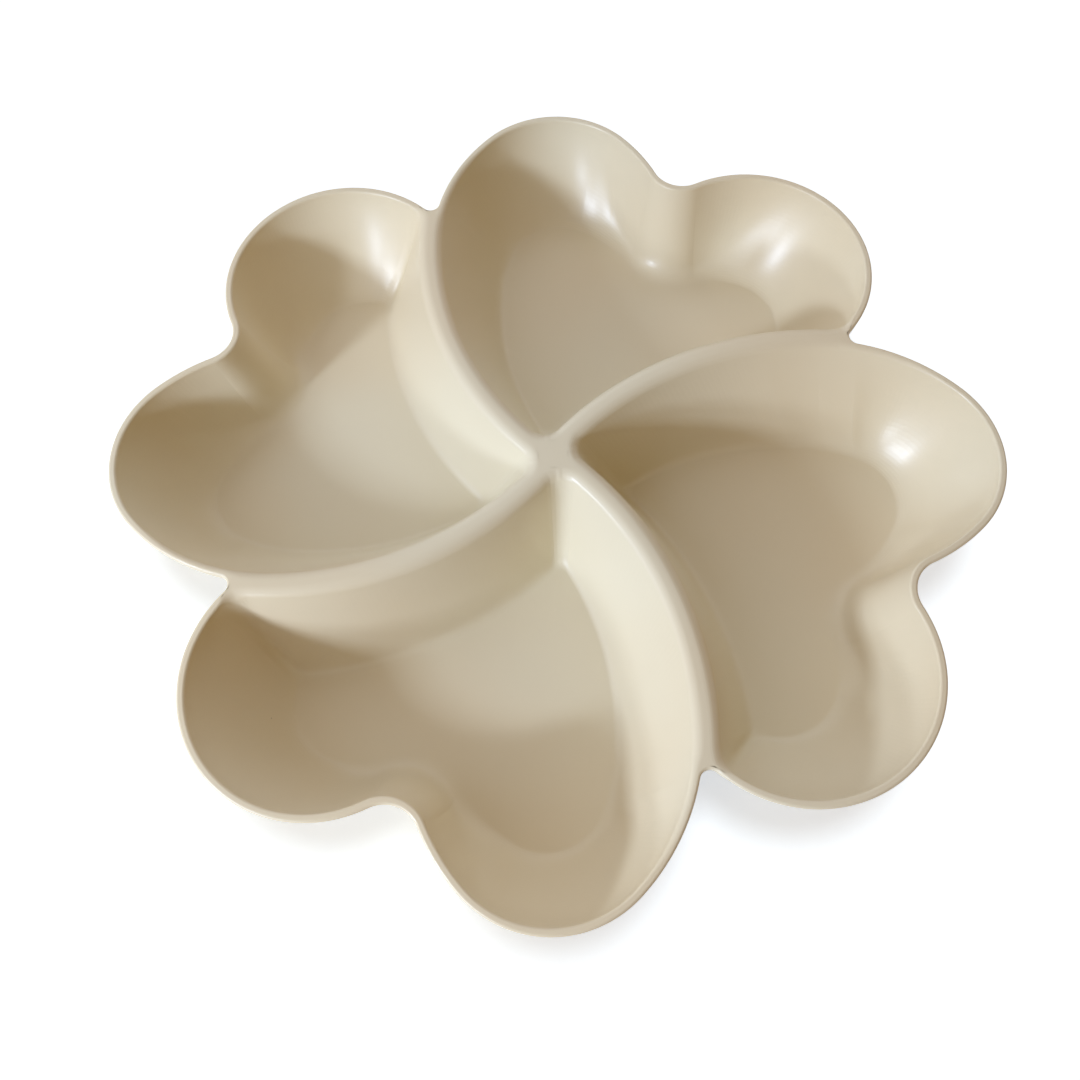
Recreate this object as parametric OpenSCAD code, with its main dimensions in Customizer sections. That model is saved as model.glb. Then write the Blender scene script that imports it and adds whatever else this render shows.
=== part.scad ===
// Divided serving bowl: four heart-shaped wells set round a small flat hub like the leaves of a
// clover, parted by four dividing walls that curve like a pinwheel. The real bowl is one moulding.
// Each heart cup is a quarter of it and meets its neighbours face to face along the middle of the
// dividing walls' crests, and the hub is the flat land where the four walls meet.

/* [Bowl] */
// Width across two opposite lobes
bowl_span = 300; // [260:1:360]
// Depth of each well, from the rim down to its floor
well_depth = 35; // [28:0.5:45]
// Thickness of the walls and floors, and width of the rim lip
wall_t = 2.5; // [2:0.1:3]

/* [Edges] */
// Width of the crest of a dividing wall, from well to well
crest_w = 7; // [6.5:0.1:10]
// Radius that rounds both sides of a crest, where the crest is wide enough for it
crest_r = 4.6; // [3:0.1:5]
// Radius that rounds both sides of the rim lip
lip_r = 0.9; // [0.6:0.05:1.1]
// Diameter of the flat hub in the middle
hub_d = 10; // [6:0.5:10.5]

/* [Wells] */
// Radius of a well's inner corner at the rim, where its round lobe meets the dividing wall
corner_r = 10; // [7:0.5:12]
// Radius of a well's tip at the rim, next to the hub
tip_r = 6.6; // [5:0.1:7.5]
// How far the rounding at the foot of a dividing wall reaches over the floor
divider_foot = 5; // [3:0.5:8]
// How far the rounding at the foot of a lobe's outer wall reaches over the floor
lobe_foot = 18; // [14:0.5:20]
// How far the rounding at the foot of the nose between two lobes reaches over the floor
nose_foot = 10; // [7:0.5:14]

/* [Foot rings] */
// Height of the foot ring under each well
foot_h = 1.5; // [1:0.1:3]
// Width of the foot ring
foot_w = 3; // [2:0.1:4]
// Distance from the edge of the well's floor to the foot ring
foot_inset = 1.5; // [0.5:0.1:3]
// Slope of the foot ring's sides, as the width that each one loses
foot_draft = 0.4; // [0.1:0.05:0.6]
// Outer radius of the foot ring's two tight corners
foot_corner_r = 6; // [5:0.1:8]

/* [Hidden] */

cup_colour = [0.86, 0.80, 0.69];
bowl_r = bowl_span / 2;
hub_r = hub_d / 2;
half_crest = crest_w / 2;
rim_z = foot_h + wall_t + well_depth;
quarter_turn = 90;

// The plan of one heart, with the bowl's centre at the origin and the heart's cleft on +Y.
// Its outline runs anticlockwise through six sections, each a stretch of tangent arcs.
R_WALL = "right wall";
CORNER = "corner";
R_LOBE = "right lobe";
CLEFT = "cleft";
L_SIDE = "left side";
TIP = "tip";
SECTIONS = [R_WALL, CORNER, R_LOBE, CLEFT, L_SIDE, TIP];

// Middle line of the dividing wall on the heart's right, an arc that bulges into the heart
divider_centre_share = [0.740, -0.212];
divider_r_share = 0.778;

// Rim of the well as shares of the bowl's radius: the radii of the left side's three arcs from
// the cleft down, the headings at which each of them gives way to the next, the right lobe, the
// cleft's fillet and the fillet of the notch between two hearts
left_r_shares = [0.428, 0.226, 0.435];
left_headings = [65, 157, 201.5];
lobe_centre_share = [0.2575, 0.654];
lobe_r_share = 0.270;
cleft_r_share = 0.073;
notch_r_share = 0.0215;

// Edge of the well's floor: the circles at the feet of the two walls, then as for the rim
floor_left_centre_share = [0.351, 0.757];
floor_left_wall_r_share = 0.739;
floor_right_centre_share = [0.717, -0.148];
floor_right_wall_r_share = 0.857;
floor_left_r_shares = [0.286, 0.125, 0.397];
floor_left_headings = [85.5, 178, 198.5];
floor_lobe_centre_share = [0.223, 0.627];
floor_lobe_r_share = 0.141;
floor_cleft_r_share = 0.140;
floor_corner_r_share = 0.031;
floor_tip_r_share = 0.020;

// How straight a wall's section is before its foot: 1 is straight, less is more bowl-like
divider_straight_share = 0.9;
lobe_straight_share = 0.35;

// Steps along each stretch of the outline and of a wall's section
seam_steps = 14;
notch_steps = 3;
lobe_start_steps = 2;
lobe_steps = 18;
cleft_steps = 8;
left_steps = [3, 14, 5];
hub_steps = 4;
wall_steps = 8;
outer_steps = 5;
crest_steps = 3;
lip_steps = 2;

// Shares of a corner's or a tip's turn at which the outer boundary changes from arc to arc
corner_seam_share = 0.4;
corner_notch_share = 0.75;
tip_hub_start_share = 0.3;
tip_hub_end_share = 0.7;

// Plane geometry
function pol(a) = [cos(a), sin(a)];
function bearing(v) = atan2(v[1], v[0]);
function turned(p, a) = [cos(a) * p[0] - sin(a) * p[1], sin(a) * p[0] + cos(a) * p[1]];
function lerp(a, b, t) = a + (b - a) * t;
function unit(v) = v / norm(v);
function smooth(t) = let (c = min(max(t, 0), 1)) c * c * (3 - 2 * c);
function on_arc(arc, t) = arc[0] + arc[1] * pol(lerp(arc[2], arc[3], t));
function angle_after(a, start) = a + 360 * ceil((start - a) / 360);
function angle_before(a, start) = a - 360 * ceil((a - start) / 360);

// Where two circles cross: on the left or on the right of the line from a to b
function crossing(a, ra, b, rb, on_left) =
    let (
        d = norm(b - a),
        along = (d * d + ra * ra - rb * rb) / (2 * d),
        across = sqrt(max(ra * ra - along * along, 0)),
        u = (b - a) / d,
        v = on_left ? [-u[1], u[0]] : [u[1], -u[0]]
    )
    a + u * along + v * across;

// An outline, as its six sections, each a list of arcs [centre, radius, from, to]. The walls are
// circles, the lobes are circles inside them, and the corner, cleft and tip are their fillets.
function heart_outline(left_c, left_wall_r, right_c, right_wall_r, rs, headings, lobe_c, lobe_r,
                       cleft_r, corner_r, tip_r) =
    let (
        c1 = left_c + pol(headings[2]) * (left_wall_r - rs[2]),
        c2 = c1 + pol(headings[1]) * (rs[2] - rs[1]),
        c3 = c2 + pol(headings[0]) * (rs[1] - rs[0]),
        cleft_c = crossing(c3, rs[0] + cleft_r, lobe_c, lobe_r + cleft_r, true),
        corner_c = crossing(lobe_c, lobe_r - corner_r, right_c, right_wall_r + corner_r, true),
        tip_c = crossing(left_c, left_wall_r - tip_r, right_c, right_wall_r + tip_r, false),
        wall_from = angle_after(bearing(tip_c - right_c), 0),
        wall_to = bearing(corner_c - right_c),
        corner_from = bearing(right_c - corner_c),
        corner_to = bearing(corner_c - lobe_c),
        lobe_to = bearing(cleft_c - lobe_c),
        cleft_from = bearing(lobe_c - cleft_c),
        cleft_to = bearing(c3 - cleft_c),
        left_from = bearing(cleft_c - c3),
        left_to = angle_after(bearing(tip_c - left_c), 0),
        tip_to = angle_after(bearing(right_c - tip_c), 0)
    )
    [
        [[right_c, right_wall_r, wall_from, wall_to]],
        [[corner_c, corner_r, corner_from, corner_to]],
        [[lobe_c, lobe_r, corner_to, lobe_to]],
        [[cleft_c, cleft_r, cleft_from, cleft_to]],
        [
            [c3, rs[0], left_from, headings[0]],
            [c2, rs[1], headings[0], headings[1]],
            [c1, rs[2], headings[1], headings[2]],
            [left_c, left_wall_r, headings[2], left_to]
        ],
        [[tip_c, tip_r, left_to, tip_to]]
    ];

// The arcs of a section, its first and last heading, and its heading at share t of the way
function arcs_of(o, s) = o[search([s], SECTIONS)[0]];
function last_arc(arcs) = arcs[len(arcs) - 1];
function first_heading(o, s) = arcs_of(o, s)[0][2];
function last_heading(o, s) = last_arc(arcs_of(o, s))[3];
function heading(o, s, t) = lerp(first_heading(o, s), last_heading(o, s), t);
function share_at(o, s, a) = (a - first_heading(o, s)) / (last_heading(o, s) - first_heading(o, s));

// The first of some arcs that holds heading a, the point at share t of a section and the normal
// there that leaves the well
function arc_at(arcs, a) = concat([for (arc = arcs) if (a <= arc[3]) arc], [last_arc(arcs)])[0];
function point_at(o, s, t) =
    let (a = heading(o, s, t), arcs = arcs_of(o, s), arc = len(arcs) == 1 ? arcs[0] : arc_at(arcs, a))
    arc[0] + arc[1] * pol(a);
function normal_at(o, s, t) = (s == R_WALL || s == CLEFT ? -1 : 1) * pol(heading(o, s, t));

// The middle lines of the two dividing walls, and the rim of the well beside them
right_c = divider_centre_share * bowl_r;
left_c = turned(right_c, quarter_turn);
divider_r = divider_r_share * bowl_r;
lobe_c = lobe_centre_share * bowl_r;
lobe_r = lobe_r_share * bowl_r;
cleft_r = cleft_r_share * bowl_r;
notch_r = notch_r_share * bowl_r;
rim = heart_outline(
    left_c, divider_r - half_crest, right_c, divider_r + half_crest, left_r_shares * bowl_r,
    left_headings, lobe_c, lobe_r, cleft_r + wall_t, corner_r, tip_r
);

// The edge of the well's floor, drawn in by an inset
function floor_outline(inset, corner_r, tip_r) = heart_outline(
    floor_left_centre_share * bowl_r, floor_left_wall_r_share * bowl_r - inset,
    floor_right_centre_share * bowl_r, floor_right_wall_r_share * bowl_r + inset,
    floor_left_r_shares * bowl_r - [inset, inset, inset], floor_left_headings,
    floor_lobe_centre_share * bowl_r, floor_lobe_r_share * bowl_r - inset,
    floor_cleft_r_share * bowl_r + inset, corner_r, tip_r
);
floor_edge = floor_outline(0, floor_corner_r_share * bowl_r, floor_tip_r_share * bowl_r);
foot_insets = [for (d = [0, foot_draft, foot_w - foot_draft, foot_w]) foot_inset + d];
foot_edges = [
    for (inset = foot_insets)
    let (r = foot_corner_r + foot_inset - inset)
    floor_outline(inset, r, r)
];

// The notch between this heart's left lobe and its neighbour's right lobe, outside the rim
side_arcs = arcs_of(rim, L_SIDE);
low_lobe_c = side_arcs[2][0];
low_lobe_r = side_arcs[2][1];
notch_c = crossing(
    low_lobe_c, low_lobe_r + wall_t + notch_r,
    turned(lobe_c, quarter_turn), lobe_r + wall_t + notch_r, false
);
notch_end = crossing(left_c, divider_r, notch_c, notch_r, true);
seam_end = angle_after(bearing(notch_end - left_c), 0) - quarter_turn;
seam_start = angle_after(bearing(crossing(left_c, divider_r, [0, 0], hub_r, false) - left_c), 0)
    - quarter_turn;
left_notch = [
    notch_c, notch_r, bearing(low_lobe_c - notch_c), bearing(notch_end - notch_c)
];
right_notch_c = turned(notch_c, -quarter_turn);
right_notch = [
    right_notch_c, notch_r, bearing(notch_end - notch_c) - quarter_turn,
    angle_before(bearing(lobe_c - right_notch_c), bearing(notch_end - notch_c) - quarter_turn)
];
notch_heading = angle_after(bearing(notch_c - low_lobe_c), 0);
lobe_heading = bearing(right_notch_c - lobe_c);

// Headings at which the rim's own arcs take over from the tip and from the corner
right_tip_heading = first_heading(rim, R_WALL);
right_corner_heading = last_heading(rim, R_WALL);
left_tip_heading = last_heading(rim, L_SIDE);
left_lobe_heading = left_headings[2];

// Stations round the cup: [section, share of it, point of the outer boundary, outward normal
// there, whether the boundary is open rim and not a seam]
function seam_heading(i) = lerp(seam_start, seam_end, i / seam_steps);
function right_seam_station(i) =
    let (
        a = seam_heading(i),
        b = right_c + divider_r * pol(a),
        past_tip = (a - right_tip_heading) / (seam_start - right_tip_heading),
        past_wall = (right_corner_heading - a) / (right_corner_heading - seam_end)
    )
    a > right_tip_heading ? [TIP, lerp(1, tip_hub_end_share, past_tip), b, -pol(a), false]
    : a < right_corner_heading ? [CORNER, corner_seam_share * past_wall, b, -pol(a), false]
    : [R_WALL, share_at(rim, R_WALL, a), b, -pol(a), false];
function left_seam_station(i) =
    let (
        a = seam_heading(i) + quarter_turn,
        b = left_c + divider_r * pol(a),
        start = seam_start + quarter_turn,
        end = seam_end + quarter_turn,
        past_tip = (a - left_tip_heading) / (start - left_tip_heading),
        past_wall = (left_lobe_heading - a) / (left_lobe_heading - end),
        lobe_a = lerp(left_lobe_heading, lerp(notch_heading, left_lobe_heading, 0.5), past_wall)
    )
    a > left_tip_heading ? [TIP, tip_hub_start_share * past_tip, b, pol(a), false]
    : a < left_lobe_heading ? [L_SIDE, share_at(rim, L_SIDE, lobe_a), b, pol(a), false]
    : [L_SIDE, share_at(rim, L_SIDE, a), b, pol(a), false];

stations = concat(
    [for (i = [0 : seam_steps - 1]) right_seam_station(i)],
    [
        for (i = [0 : notch_steps - 1])
        let (t = i / notch_steps, b = on_arc(right_notch, t))
        [CORNER, lerp(corner_seam_share, corner_notch_share, t), b, unit(right_notch_c - b), true]
    ],
    [
        for (i = [0 : lobe_start_steps - 1])
        let (t = i / lobe_start_steps, a = lerp(lobe_heading, first_heading(rim, R_LOBE), t))
        [CORNER, lerp(corner_notch_share, 1, t), lobe_c + (lobe_r + wall_t) * pol(a), pol(a), true]
    ],
    [for (i = [0 : lobe_steps - 1]) rim_station(R_LOBE, i / lobe_steps)],
    [for (i = [0 : cleft_steps - 1]) rim_station(CLEFT, i / cleft_steps)],
    [
        for (n = [0 : 2])
        let (from = side_arcs[n][2], to = n < 2 ? side_arcs[n][3] : notch_heading)
        for (i = [0 : left_steps[n] - 1])
        rim_station(L_SIDE, share_at(rim, L_SIDE, lerp(from, to, i / left_steps[n])))
    ],
    [
        for (i = [0 : notch_steps])
        let (
            t = i / notch_steps,
            b = on_arc(left_notch, t),
            a = lerp(notch_heading, lerp(notch_heading, left_lobe_heading, 0.5), t)
        )
        [L_SIDE, share_at(rim, L_SIDE, a), b, unit(notch_c - b), true]
    ],
    [for (i = [seam_steps - 1 : -1 : 0]) left_seam_station(i)],
    [
        for (i = [1 : hub_steps - 1])
        let (
            t = i / hub_steps,
            from = bearing(left_c + divider_r * pol(seam_start + quarter_turn)),
            a = from - quarter_turn * t
        )
        [TIP, lerp(tip_hub_start_share, tip_hub_end_share, t), hub_r * pol(a), -pol(a), false]
    ]
);
function rim_station(s, t) =
    let (n = normal_at(rim, s, t))
    [s, t, point_at(rim, s, t) + wall_t * n, n, true];

// How much a station belongs to a lobe's outer wall (1) or to a dividing wall (0), and how far
// the crest's wide rounding (1) has given way to the lip's narrow one (0)
nose_lobe_share = 0.35;
lip_start_share = 0.1;
edge_room_share = 0.95;
function lobe_weight(s, t) =
    s == CORNER ? smooth(t)
    : s == R_LOBE ? 1
    : s == CLEFT ? 1
    : s == L_SIDE ? 1 - smooth((heading(rim, s, t) - left_headings[1])
        / (left_headings[2] - left_headings[1]))
    : 0;
function nose_weight(s, t) =
    s == CLEFT ? 1
    : s == R_LOBE ? smooth(1 - (1 - t) / nose_lobe_share)
    : s == L_SIDE ? smooth(1 - share_at(rim, s, heading(rim, s, t)) / (nose_lobe_share / 2))
    : 0;
function crest_weight(s, t) =
    s == CORNER ? 1 - smooth((t - corner_seam_share) / (1 - corner_seam_share))
    : s == L_SIDE ? smooth((heading(rim, s, t) - left_headings[1])
        / (left_headings[2] - left_headings[1]))
    : s == R_LOBE || s == CLEFT ? 0
    : 1;
// Whether the underside is still a flat web (1) or the outer wall rises to the lip (0)
function web_weight(s, t, open) =
    !open ? 1
    : s == CORNER ? 1 - smooth((t - corner_notch_share) / (1 - corner_notch_share))
    : s == L_SIDE ? smooth((heading(rim, s, t) - left_headings[1])
        / (notch_heading - left_headings[1]))
    : 0;

function bezier(p, t) =
    let (u = 1 - t)
    u * u * u * p[0] + 3 * u * u * t * p[1] + 3 * u * t * t * p[2] + t * t * t * p[3];

// The section of the cup at one station, as points from the floor's edge over the rim and down
// the outside to the foot ring. Heights are measured from the rim.
function section_points(st) =
    let (
        s = st[0],
        t = st[1],
        b = st[2],
        b_out = st[3],
        open = st[4],
        e = point_at(rim, s, t),
        e_out = normal_at(rim, s, t),
        f = point_at(floor_edge, s, t),
        run = norm(f - e),
        inward = unit(f - e),
        lobe = lobe_weight(s, t),
        nose = nose_weight(s, t),
        foot = lerp(lerp(divider_foot, lobe_foot, lobe), nose_foot, nose),
        straight = lerp(divider_straight_share, lobe_straight_share, lobe * (1 - nose)),
        slope = atan2(well_depth, run - foot),
        room = (b - e) * e_out - (open ? lip_r : 0),
        edge_r = min(
            lerp(lip_r, crest_r, crest_weight(s, t)), edge_room_share * room / tan(slope / 2)
        ),
        tangent = edge_r * tan(slope / 2),
        corner_p = [run - foot, -well_depth],
        top = tangent * [cos(slope), -sin(slope)],
        end = [run, -well_depth],
        wall = [top, lerp(top, corner_p, straight), lerp(end, corner_p, straight), end],
        web = web_weight(s, t, open),
        web_drop = lerp(lip_r + lip_start_share * wall_t, wall_t, web),
        top_skew = -inward * e_out,
        foot_skew = -inward * normal_at(floor_edge, s, t),
        top_slope = atan2(tan(slope), top_skew),
        foot_slope = atan2(tan(slope), foot_skew),
        outer_top = [web_drop / tan(top_slope) - wall_t / sin(top_slope), -web_drop],
        outer_corner = [
            (well_depth + wall_t) / tan(slope) - wall_t / sin(foot_slope) / foot_skew,
            -well_depth - wall_t
        ],
        outer_end = [run, -well_depth - wall_t],
        outer = [
            outer_top, lerp(outer_top, outer_corner, straight),
            lerp(outer_end, outer_corner, straight), outer_end
        ]
    )
    concat(
        [for (i = [0 : wall_steps]) placed(e, e_out, inward, bezier(wall, 1 - i / wall_steps))],
        [
            for (i = [1 : crest_steps])
            let (a = slope * (1 - i / crest_steps))
            placed(e, e_out, inward, edge_r * [sin(a) - tan(slope / 2), cos(a) - 1])
        ],
        [
            for (i = [0 : lip_steps])
            let (a = quarter_turn * i / lip_steps)
            open ? lifted(b + b_out * lip_r * (sin(a) - 1), lip_r * (cos(a) - 1))
            : lifted(b, -wall_t * i / (lip_steps + 1))
        ],
        [lifted(b, -lerp(lip_r * (1 + lip_start_share), wall_t, web))],
        [
            for (i = [0 : outer_steps])
            placed(e, e_out, inward, bezier(outer, i / outer_steps))
        ],
        [
            lifted(point_at(foot_edges[0], s, t), -well_depth - wall_t),
            lifted(point_at(foot_edges[1], s, t), -well_depth - wall_t - foot_h),
            lifted(point_at(foot_edges[2], s, t), -well_depth - wall_t - foot_h),
            lifted(point_at(foot_edges[3], s, t), -well_depth - wall_t)
        ]
    );
function lifted(p, z) = [p[0], p[1], z + rim_z];
function placed(e, e_out, inward, q) = lifted(q[0] < 0 ? e - e_out * q[0] : e + inward * q[0], q[1]);

// One heart cup as a closed mesh: strips from each station to the next, the flat floor inside
// the well and the flat recess inside the foot ring
module heart_cup(angle) {
    columns = [for (st = stations) section_points(st)];
    n = len(columns);
    k = len(columns[0]);
    strips = [
        for (j = [0 : n - 1])
        let (next = (j + 1) % n)
        for (i = [0 : k - 2])
        each [
            [j * k + i, next * k + i, next * k + i + 1],
            [j * k + i, next * k + i + 1, j * k + i + 1]
        ]
    ];
    floor_face = [for (j = [n - 1 : -1 : 0]) j * k];
    recess_face = [for (j = [0 : n - 1]) j * k + k - 1];
    color(cup_colour)
        rotate([0, 0, angle])
            polyhedron([for (c = columns) each c], concat(strips, [floor_face, recess_face]));
}

module heart_cup_back() {
    heart_cup(0);
}

module heart_cup_left() {
    heart_cup(quarter_turn);
}

module heart_cup_front() {
    heart_cup(2 * quarter_turn);
}

module heart_cup_right() {
    heart_cup(3 * quarter_turn);
}

// The hub: a flat plate whose edge meets the four cups' ends
module hub() {
    from = bearing(left_c + divider_r * pol(seam_start + quarter_turn));
    color(cup_colour)
        translate([0, 0, rim_z - wall_t])
            linear_extrude(wall_t)
                polygon([
                    for (i = [0 : 4 * hub_steps - 1]) hub_r * pol(from - quarter_turn * i / hub_steps)
                ]);
}

heart_cup_back();
heart_cup_left();
heart_cup_front();
heart_cup_right();
hub();
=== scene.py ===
"""Divided serving bowl: four heart-shaped wells, set round a small flat hub like the leaves of a
clover and parted by four dividing walls that curve like a pinwheel. It is one beige moulding.

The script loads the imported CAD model, builds a finer piece over each of its nodes, gives them
their moulded finish and sets up the studio. Lengths are in metres and headings in degrees.
"""

import math
from functools import partial

import bpy
from mathutils import Matrix, Vector


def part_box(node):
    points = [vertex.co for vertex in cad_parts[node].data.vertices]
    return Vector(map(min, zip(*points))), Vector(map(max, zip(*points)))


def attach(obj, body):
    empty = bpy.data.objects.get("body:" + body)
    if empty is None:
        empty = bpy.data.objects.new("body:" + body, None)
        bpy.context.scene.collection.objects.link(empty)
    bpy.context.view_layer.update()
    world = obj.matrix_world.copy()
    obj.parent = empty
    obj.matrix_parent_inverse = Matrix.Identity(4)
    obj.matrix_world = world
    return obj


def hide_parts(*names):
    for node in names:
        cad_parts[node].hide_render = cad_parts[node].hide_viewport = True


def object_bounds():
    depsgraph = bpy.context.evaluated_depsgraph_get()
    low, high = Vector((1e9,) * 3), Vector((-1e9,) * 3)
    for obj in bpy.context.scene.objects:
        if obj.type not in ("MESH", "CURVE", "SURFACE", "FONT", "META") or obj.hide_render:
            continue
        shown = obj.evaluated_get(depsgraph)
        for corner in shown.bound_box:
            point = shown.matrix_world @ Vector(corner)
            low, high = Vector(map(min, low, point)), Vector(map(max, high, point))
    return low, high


bl_info = {
    "name": "Divided Serving Bowl",
    "version": (1, 0, 0),
    "blender": (4, 5, 0),
    "location": "3D View > Sidebar > Serving Bowl",
    "description": "A serving bowl of four heart-shaped wells, and the studio round it",
    "category": "Add Mesh",
}

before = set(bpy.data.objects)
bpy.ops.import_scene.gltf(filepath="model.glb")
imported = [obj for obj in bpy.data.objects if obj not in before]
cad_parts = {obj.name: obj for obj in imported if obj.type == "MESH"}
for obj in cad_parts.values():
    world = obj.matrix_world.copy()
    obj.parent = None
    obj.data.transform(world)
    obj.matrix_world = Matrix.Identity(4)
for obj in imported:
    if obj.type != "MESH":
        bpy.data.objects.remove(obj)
CAD_LOW, CAD_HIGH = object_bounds()
HUB_LOW, HUB_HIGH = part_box("hub")

MM = 0.001
QUARTER_TURN = 90.0

# Each finer cup and the CAD node it stands for, a quarter turn on from the one before
HEART_CUPS = {
    "back_heart_cup": "heart_cup_back",
    "left_heart_cup": "heart_cup_left",
    "front_heart_cup": "heart_cup_front",
    "right_heart_cup": "heart_cup_right",
}

# The sections of a heart's outline, in order, anticlockwise from the dividing wall on its right
RIGHT_WALL, CORNER, RIGHT_LOBE, CLEFT, LEFT_SIDE, TIP = range(6)

# The middle line of the right dividing wall, as shares of the bowl's radius
DIVIDER_CENTRE_SHARE = Vector((0.740, -0.212))
DIVIDER_RADIUS_SHARE = 0.778

# The rim of a well: its left side's three arcs from the cleft down, then its right lobe
SIDE_RADIUS_SHARES = (0.428, 0.226, 0.435)
SIDE_HEADINGS = (65.0, 157.0, 201.5)
LOBE_CENTRE_SHARE = Vector((0.2575, 0.654))
LOBE_RADIUS_SHARE = 0.270
CLEFT_RADIUS_SHARE = 0.073
NOTCH_RADIUS_SHARE = 0.0215

# The edge of a well's floor, in the same order
FLOOR_LEFT_CENTRE_SHARE = Vector((0.351, 0.757))
FLOOR_LEFT_RADIUS_SHARE = 0.739
FLOOR_RIGHT_CENTRE_SHARE = Vector((0.717, -0.148))
FLOOR_RIGHT_RADIUS_SHARE = 0.857
FLOOR_SIDE_RADIUS_SHARES = (0.286, 0.125, 0.397)
FLOOR_SIDE_HEADINGS = (85.5, 178.0, 198.5)
FLOOR_LOBE_CENTRE_SHARE = Vector((0.223, 0.627))
FLOOR_LOBE_RADIUS_SHARE = 0.141
FLOOR_CLEFT_RADIUS_SHARE = 0.140
FLOOR_CORNER_RADIUS_SHARE = 0.031
FLOOR_TIP_RADIUS_SHARE = 0.020

# Where the outer boundary changes from arc to arc, as shares of a corner's or a tip's turn
CORNER_SEAM_SHARE = 0.4
CORNER_NOTCH_SHARE = 0.75
TIP_HUB_START_SHARE = 0.3
TIP_HUB_END_SHARE = 0.7

# How much of a lobe belongs to the nose between the lobes, and where the lip's outside starts
NOSE_LOBE_SHARE = 0.35
LIP_START_SHARE = 0.1

# How much of the width beside a well's rim the rounding of its edge may take
EDGE_ROOM_SHARE = 0.95

# Columns of the cup's mesh along each stretch of its outline
SEAM_COLUMNS = 56
NOTCH_COLUMNS = 10
LOBE_START_COLUMNS = 6
LOBE_COLUMNS = 64
CLEFT_COLUMNS = 32
SIDE_COLUMNS = (12, 52, 18)
HUB_COLUMNS = 16

# Vertices of the cup's mesh that lie closer together than this are one
MERGE_DISTANCE = 0.002 * MM

# Warm patches, partly the moulding's uneven tint and partly painted warm shade set on the walls
# that lie in shade: how fine they are, where they lie and where the noise fades
TINT_AND_SHADE_SCALE = 8.5
TINT_AND_SHADE_SHIFT = Vector((-5.42, 3.67, 2.99))
TINT_AND_SHADE_START, TINT_AND_SHADE_END = 0.3, 0.7

# The specks: how fine their cells are, the cells without one, a speck in its cell and its tint
SPECK_SCALE = 160.0
PLAIN_CELL_SHARE = 0.985
SPECK_RADIUS_SHARE = 0.045
SPECK_TINT_SHARE = 0.6

# The uneven gloss that handling leaves, and how far it moves the roughness
HANDLING_SCALE = 45.0
HANDLING_SPAN = 0.06

# The relief: a gentle sway and, at a share of its height, a fine orange peel
SWAY_SCALE = 28.0
PEEL_SCALE = 900.0
PEEL_HEIGHT_SHARE = 0.05
RELIEF_STRENGTH = 0.25
RELIEF_HEIGHT = 0.4 * MM

# Each lamp's heading, elevation, distance and width, and whether the bowl mirrors it
LAMPS = {
    "key": (235.7, 25.5, 0.8, 0.08, True),
    "side": (256.0, 17.5, 0.8, 0.08, True),
    "fill": (235.0, 35.0, 1.3, 1.3, False),
    "back": (115.0, 35.0, 1.3, 1.3, False),
}

# The heading, the elevation and the spread of the light for the floor alone
FLOOR_LIGHT = (115.0, 82.0, 20.0)
FLOOR_REACH = 4.0

# The camera's view of the bowl, fitted to the photograph. Lens and sensor are in millimetres
CAMERA_PLACE = Vector((60.2, -141.8, 331.2)) * MM
CAMERA_AIM = Vector((7.8, -30.5, 39.0)) * MM
CAMERA_ROLL = -3.28
CAMERA_LENS = 32.79
CAMERA_SENSOR = 36.0
CAMERA_CLIPS = (0.01, 50.0)


def number_prop(name, description, default, **limits):
    """A number that a user may change."""
    return bpy.props.FloatProperty(name=name, description=description, default=default, **limits)


def colour_prop(name, description, default, **limits):
    """A colour that a user may change."""
    return bpy.props.FloatVectorProperty(
        name=name, description=description, default=default, subtype="COLOR", min=0, **limits
    )


length_prop = partial(number_prop, unit="LENGTH")
power_prop = partial(number_prop, unit="POWER")
share_prop = partial(number_prop, min=0, max=1, subtype="FACTOR")


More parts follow.
